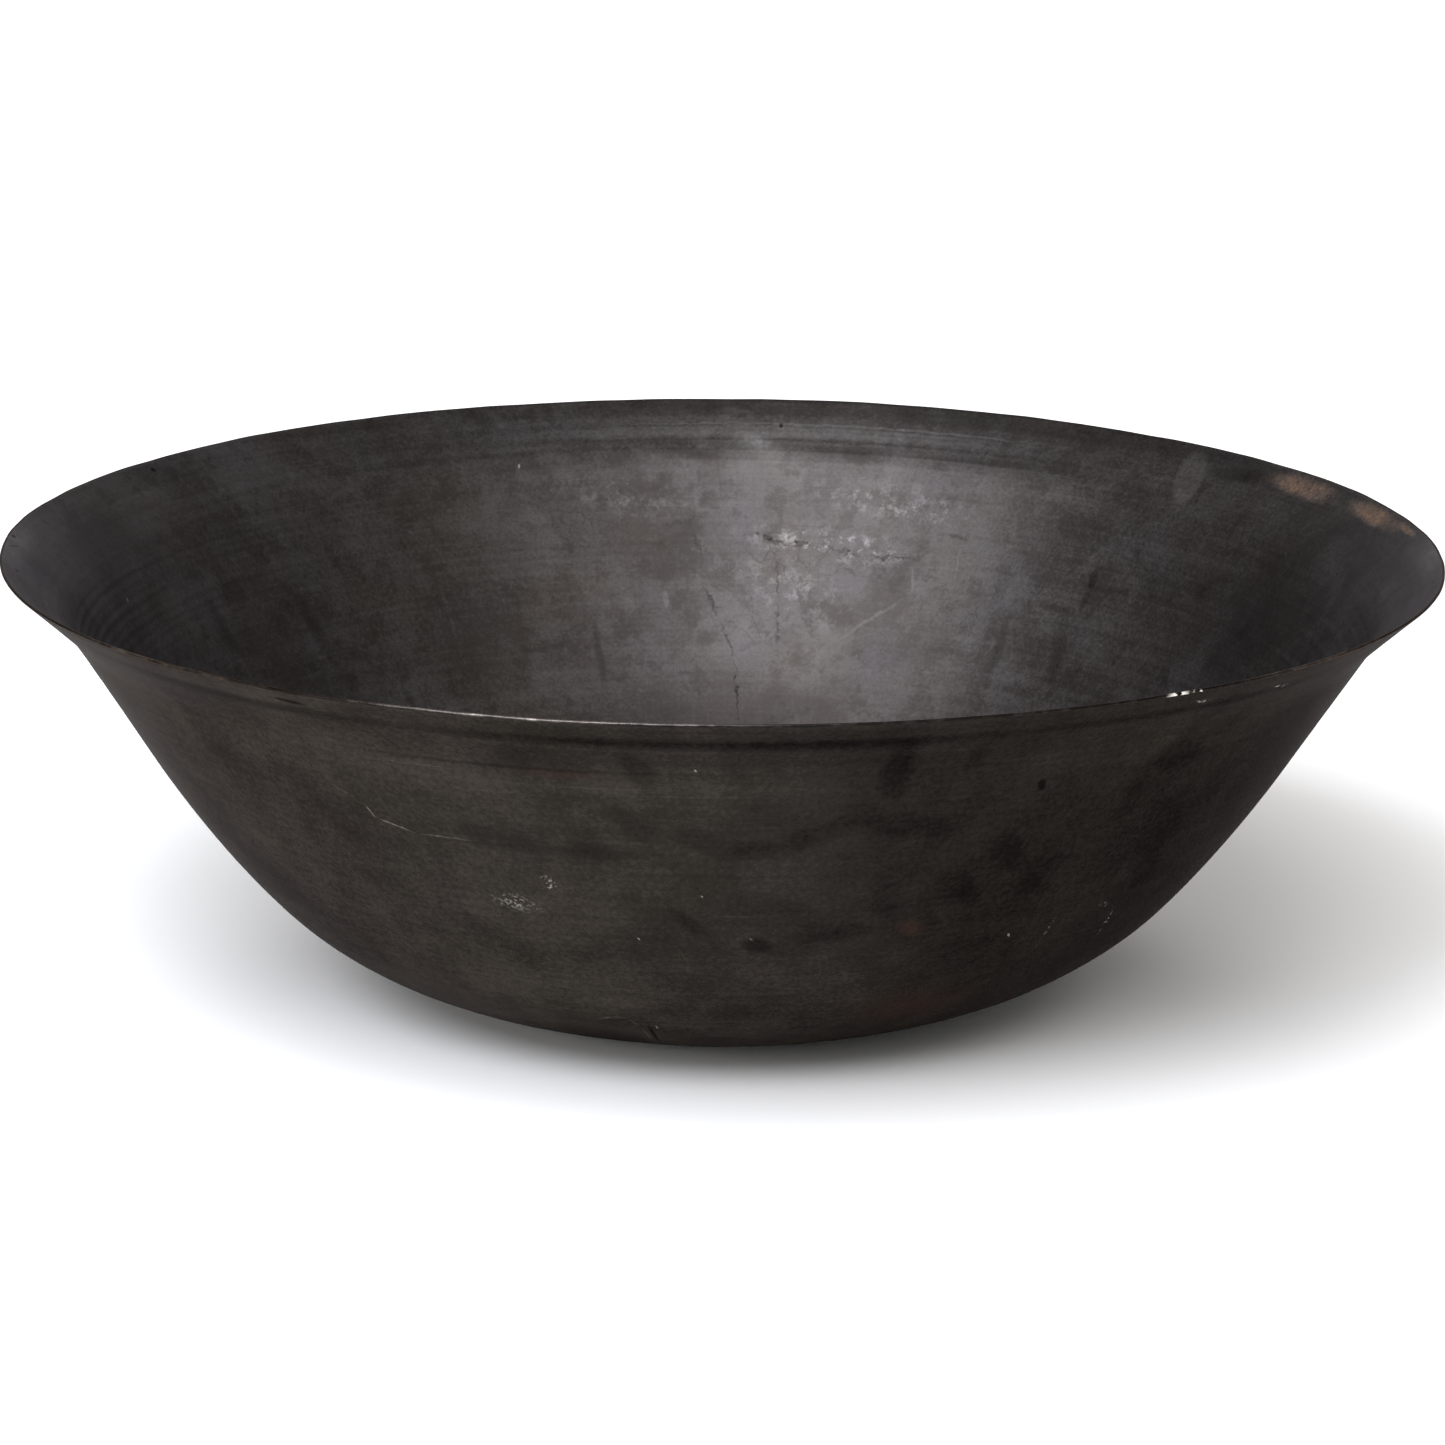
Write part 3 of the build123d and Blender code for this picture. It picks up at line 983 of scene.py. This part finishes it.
def floor_sheet():
    """A large sheet of white paper under the pan, in two-metre squares so that it meets the pan exactly."""
    lines = np.linspace(-FLOOR_REACH, FLOOR_REACH, FLOOR_SQUARES + 1)
    x, y = np.meshgrid(lines, lines)
    corners = np.stack([x, y, 0 * x], axis=-1).reshape(-1, 3)
    number = np.arange(len(lines) ** 2).reshape(len(lines), -1)
    squares = np.stack([number[:-1, :-1], number[:-1, 1:], number[1:, 1:], number[1:, :-1]], axis=-1)
    mesh = bpy.data.meshes.new("floor")
    mesh.from_pydata(corners, [], squares.reshape(-1, 4).tolist())
    floor = bpy.data.objects.new("floor", mesh)
    bpy.context.scene.collection.objects.link(floor)
    material, tree = start_finish("white_paper")
    close_finish(tree, {"Base Color": linear("#f6f5f3"), "Roughness": 0.9})
    mesh.materials.append(material)
    return len(mesh.polygons)


print("floor:", floor_sheet(), "squares")

# %% Hang the lights
LAMP_DISTANCE = 6.0
PAN_MIDDLE = Vector((0, 0, 0.07))


def softbox(name, bearing, elevation, size, watts, tint):
    """A square lamp seen from the pan at this bearing and elevation in degrees, facing the pan.

    It hangs LAMP_DISTANCE along the direction (cos e sin b, -cos e cos b, sin e) from PAN_MIDDLE.
    """
    turn, lift = np.radians([bearing, elevation])
    away = Vector((np.cos(lift) * np.sin(turn), -np.cos(lift) * np.cos(turn), np.sin(lift)))
    lamp = bpy.data.lights.new(name, "AREA")
    lamp.shape = "RECTANGLE"
    lamp.size, lamp.size_y = size
    lamp.energy = watts
    lamp.color = linear(tint)[:3]
    holder = bpy.data.objects.new(name, lamp)
    holder.location = PAN_MIDDLE + away * LAMP_DISTANCE
    holder.rotation_euler = away.to_track_quat("Z", "Y").to_euler()
    bpy.context.scene.collection.objects.link(holder)


softbox("key_softbox", -38, 49, (3.8, 4.0), 328, "#f1f5ff")
softbox("front_softbox", -2, 50, (3.8, 3.6), 236, "#f7f9ff")
softbox("low_left_softbox", -60, 14, (3.0, 2.0), 112, "#ffffff")
softbox("right_softbox", 52, 48, (2.6, 2.6), 31, "#fff3e6")
softbox("back_softbox", 180, 40, (2.5, 2.0), 60, "#ffffff")
world = bpy.data.worlds.new("studio")
world.use_nodes = True
world.node_tree.nodes["Background"].inputs["Color"].default_value = linear("#ffffff")
world.node_tree.nodes["Background"].inputs["Strength"].default_value = 0.5
bpy.context.scene.world = world
print("lamps:", {lamp.name: lamp.energy for lamp in bpy.data.lights})

# %% Place the camera
CAMERA_DISTANCE = 7 * RIM_RADIUS
CAMERA_AIM = Vector((0.00056, 0, 0.08133))
CAMERA_LIFT, CAMERA_TURN = np.radians([15.148, 0.397])


def pan_camera():
    """Seven rim radii from the pan, 15 degrees above the ground, turned a hair about its own axis."""
    camera = bpy.data.cameras.new("camera")
    camera.sensor_width = 36.0
    camera.lens = 123.09
    holder = bpy.data.objects.new("camera", camera)
    back = Vector((0, -np.cos(CAMERA_LIFT), np.sin(CAMERA_LIFT)))
    holder.location = CAMERA_AIM + back * CAMERA_DISTANCE
    holder.rotation_mode = "QUATERNION"
    level = (-back).to_track_quat("-Z", "Y")
    holder.rotation_quaternion = level @ Quaternion((0, 0, 1), float(CAMERA_TURN))
    bpy.context.scene.collection.objects.link(holder)
    bpy.context.scene.camera = holder


pan_camera()
bpy.context.scene.view_settings.view_transform = "Standard"
print("camera:", round(CAMERA_DISTANCE, 3), "m from the pan")
